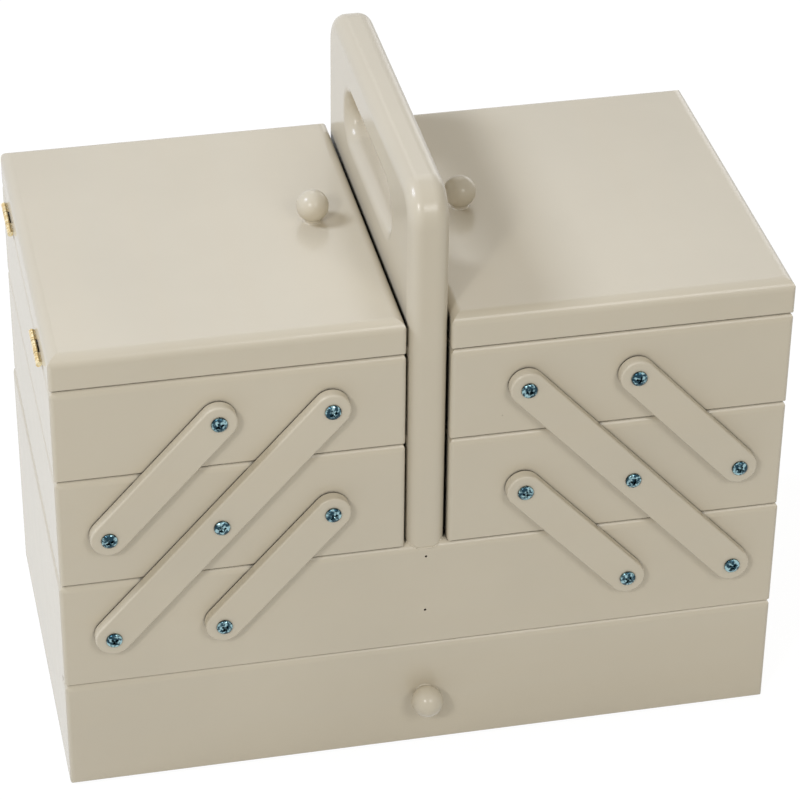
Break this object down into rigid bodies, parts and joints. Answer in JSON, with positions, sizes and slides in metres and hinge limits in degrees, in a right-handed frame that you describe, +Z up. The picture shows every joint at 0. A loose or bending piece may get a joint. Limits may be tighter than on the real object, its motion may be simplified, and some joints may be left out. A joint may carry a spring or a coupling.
{
  "type": "cantilever sewing box with drawer",
  "caption": "Painted wooden sewing box: a drawer base with a handle board, and trays on swing arms that open to both sides, under hinged lids.",
  "frame": {"origin": "middle of the underside, on the ground plane", "axes": "+X to the right seen from the drawer front, +Y to the back, +Z up"},
  "size_m": [0.4456, 0.2755, 0.391],
  "materials": {
    "painted_wood": "satin chalk paint over wood",
    "floor_panel": "bare birch plywood",
    "zinc_steel": "bright zinc plated",
    "brass": "aged brass plated"
  },
  "bodies": {
    "base": {"base_front": "painted_wood", "case_back": "painted_wood", "case_side_left": "painted_wood", "case_side_right": "painted_wood", "base_floor": "floor_panel", "bottom_panel": "floor_panel", "handle_board": "painted_wood", "handle_brads": "zinc_steel", "base_arm_screws": "zinc_steel"},
    "drawer": {"drawer_front": "painted_wood", "drawer_back": "painted_wood", "drawer_side_left": "painted_wood", "drawer_side_right": "painted_wood", "drawer_floor": "floor_panel", "drawer_knob": "painted_wood"},
    "left_long_arms": {"left_long_arms": "painted_wood"},
    "left_lower_short_arms": {"left_lower_short_arms": "painted_wood"},
    "left_upper_short_arms": {"left_upper_short_arms": "painted_wood"},
    "left_lower_tray": {"left_lower_tray_front": "painted_wood", "left_lower_tray_back": "painted_wood", "left_lower_tray_inner_side": "painted_wood", "left_lower_tray_outer_side": "painted_wood", "left_lower_tray_floor": "floor_panel", "left_lower_tray_arm_screws": "zinc_steel"},
    "left_upper_tray": {"left_upper_tray_front": "painted_wood", "left_upper_tray_back": "painted_wood", "left_upper_tray_inner_side": "painted_wood", "left_upper_tray_outer_side": "painted_wood", "left_upper_tray_floor": "floor_panel", "left_upper_tray_arm_screws": "zinc_steel", "left_tray_hinge_leaves": "brass", "left_tray_hinge_screws": "brass", "left_hinge_pins": "brass"},
    "left_lid": {"left_lid": "painted_wood", "left_lid_knob": "painted_wood", "left_lid_hinge_leaves": "brass", "left_lid_hinge_screws": "brass"},
    "right_long_arms": {"right_long_arms": "painted_wood"},
    "right_lower_short_arms": {"right_lower_short_arms": "painted_wood"},
    "right_upper_short_arms": {"right_upper_short_arms": "painted_wood"},
    "right_lower_tray": {"right_lower_tray_front": "painted_wood", "right_lower_tray_back": "painted_wood", "right_lower_tray_inner_side": "painted_wood", "right_lower_tray_outer_side": "painted_wood", "right_lower_tray_floor": "floor_panel", "right_lower_tray_arm_screws": "zinc_steel"},
    "right_upper_tray": {"right_upper_tray_front": "painted_wood", "right_upper_tray_back": "painted_wood", "right_upper_tray_inner_side": "painted_wood", "right_upper_tray_outer_side": "painted_wood", "right_upper_tray_floor": "floor_panel", "right_upper_tray_arm_screws": "zinc_steel", "right_tray_hinge_leaves": "brass", "right_tray_hinge_screws": "brass", "right_hinge_pins": "brass"},
    "right_lid": {"right_lid": "painted_wood", "right_lid_knob": "painted_wood", "right_lid_hinge_leaves": "brass", "right_lid_hinge_screws": "brass"}
  },
  "joints": [
    {"name": "drawer_slide", "type": "slide", "parent": "base", "child": "drawer", "axis": [0, -1, 0], "range_m": [0, 0.19]},
    {"name": "left_open", "type": "hinge", "parent": "base", "child": "left_long_arms", "pos_m": [-0.19, 0, 0.1135], "axis": [0, -1, 0], "range_deg": [0, 84.3]},
    {"name": "left_lower_tray_level", "type": "hinge", "parent": "left_long_arms", "child": "left_lower_tray", "pos_m": [-0.124, 0, 0.186], "axis": [0, -1, 0], "range_deg": [-84.3, 0]},
    {"name": "left_upper_tray_level", "type": "hinge", "parent": "left_long_arms", "child": "left_upper_tray", "pos_m": [-0.058, 0, 0.2585], "axis": [0, -1, 0], "range_deg": [-84.3, 0]},
    {"name": "left_lower_short_arms_swing", "type": "hinge", "parent": "base", "child": "left_lower_short_arms", "pos_m": [-0.124, 0, 0.1135], "axis": [0, -1, 0], "range_deg": [0, 84.3]},
    {"name": "left_upper_short_arms_swing", "type": "hinge", "parent": "left_lower_tray", "child": "left_upper_short_arms", "pos_m": [-0.19, 0, 0.186], "axis": [0, -1, 0], "range_deg": [0, 84.3]},
    {"name": "left_lid_hinge", "type": "hinge", "parent": "left_upper_tray", "child": "left_lid", "pos_m": [-0.2211, 0, 0.287], "axis": [0, -1, 0], "range_deg": [0, 190]},
    {"name": "right_open", "type": "hinge", "parent": "base", "child": "right_long_arms", "pos_m": [0.19, 0, 0.1135], "axis": [0, 1, 0], "range_deg": [0, 84.3]},
    {"name": "right_lower_tray_level", "type": "hinge", "parent": "right_long_arms", "child": "right_lower_tray", "pos_m": [0.124, 0, 0.186], "axis": [0, 1, 0], "range_deg": [-84.3, 0]},
    {"name": "right_upper_tray_level", "type": "hinge", "parent": "right_long_arms", "child": "right_upper_tray", "pos_m": [0.058, 0, 0.2585], "axis": [0, 1, 0], "range_deg": [-84.3, 0]},
    {"name": "right_lower_short_arms_swing", "type": "hinge", "parent": "base", "child": "right_lower_short_arms", "pos_m": [0.124, 0, 0.1135], "axis": [0, 1, 0], "range_deg": [0, 84.3]},
    {"name": "right_upper_short_arms_swing", "type": "hinge", "parent": "right_lower_tray", "child": "right_upper_short_arms", "pos_m": [0.19, 0, 0.186], "axis": [0, 1, 0], "range_deg": [0, 84.3]},
    {"name": "right_lid_hinge", "type": "hinge", "parent": "right_upper_tray", "child": "right_lid", "pos_m": [0.2211, 0, 0.287], "axis": [0, 1, 0], "range_deg": [0, 190]}
  ],
  "couplings": [
    {"joint": "left_lower_tray_level", "follows": "left_open", "ratio": -1},
    {"joint": "left_upper_tray_level", "follows": "left_open", "ratio": -1},
    {"joint": "left_lower_short_arms_swing", "follows": "left_open", "ratio": 1},
    {"joint": "left_upper_short_arms_swing", "follows": "left_open", "ratio": 1},
    {"joint": "right_lower_tray_level", "follows": "right_open", "ratio": -1},
    {"joint": "right_upper_tray_level", "follows": "right_open", "ratio": -1},
    {"joint": "right_lower_short_arms_swing", "follows": "right_open", "ratio": 1},
    {"joint": "right_upper_short_arms_swing", "follows": "right_open", "ratio": 1}
  ]
}
